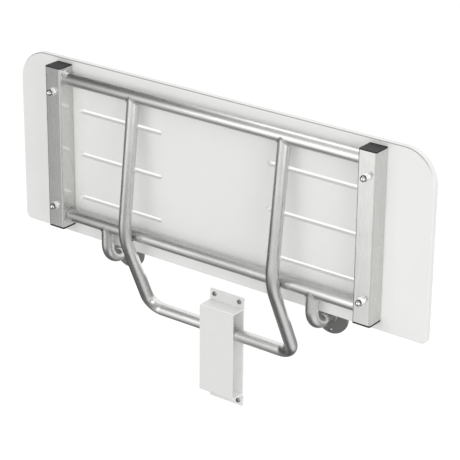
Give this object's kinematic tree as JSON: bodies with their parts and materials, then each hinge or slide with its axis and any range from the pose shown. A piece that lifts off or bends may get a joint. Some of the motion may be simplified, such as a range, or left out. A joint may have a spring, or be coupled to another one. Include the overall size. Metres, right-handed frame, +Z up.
{
  "type": "fold down wall seat",
  "caption": "Wall seat that folds down: slotted white panel on a tube frame, with a hinged brace whose cross bar slides in a wall guide.",
  "frame": {"origin": "On the wall, at the centre of the guide bracket and of its four screws.", "axes": "+X runs along the wall, to the right for someone who faces it; +Y points into the wall; +Z is up. The rest pose is the seat folded up."},
  "size_m": [0.965, 0.125, 0.6579],
  "materials": {
    "white_panel": "satin",
    "satin_steel": "satin",
    "polished_steel": "polished",
    "black_cap": "matte",
    "bracket_coat": "satin",
    "screw_steel": "satin",
    "insert_brass": "machined",
    "spring_steel": "satin"
  },
  "bodies": {
    "wall_frame": {"rear_rail": "satin_steel", "hinge_arm_left": "satin_steel", "hinge_arm_right": "satin_steel", "wall_flange_left": "satin_steel", "wall_flange_right": "satin_steel", "flange_screws": "screw_steel", "guide_back_plate": "bracket_coat", "guide_channel": "bracket_coat", "guide_screws": "screw_steel", "retention_spring": "spring_steel", "spring_rivets": "spring_steel"},
    "seat": {"seat_panel": "white_panel", "side_tube_left": "satin_steel", "side_tube_right": "satin_steel", "front_end_caps": "black_cap", "rear_end_caps": "black_cap", "front_rail_bushings": "satin_steel", "rear_rail_bushings": "satin_steel", "panel_inserts": "insert_brass", "panel_studs": "satin_steel", "stud_washers": "polished_steel", "dome_nuts": "polished_steel"},
    "brace": {"front_rail": "satin_steel", "brace_tube_left": "satin_steel", "brace_tube_right": "satin_steel"},
    "guide_bar": {"guide_bar": "satin_steel"}
  },
  "joints": [
    {"name": "seat_fold", "type": "hinge", "parent": "wall_frame", "child": "seat", "pos_m": [0, -0.0695, 0.2196], "axis": [1, 0, 0], "range_deg": [0, 87]},
    {"name": "brace_swing", "type": "hinge", "parent": "seat", "child": "brace", "pos_m": [0, -0.0695, 0.507], "axis": [1, 0, 0], "range_deg": [-45.4, 0]},
    {"name": "guide_bar_slide", "type": "slide", "parent": "wall_frame", "child": "guide_bar", "axis": [0, 0.0499, -0.9988], "range_m": [0, 0.1252]}
  ],
  "couplings": [
    {"joint": "brace_swing", "follows": "seat_fold", "ratio": -0.52153},
    {"joint": "guide_bar_slide", "follows": "seat_fold", "m_per_rad": 0.082424}
  ]
}
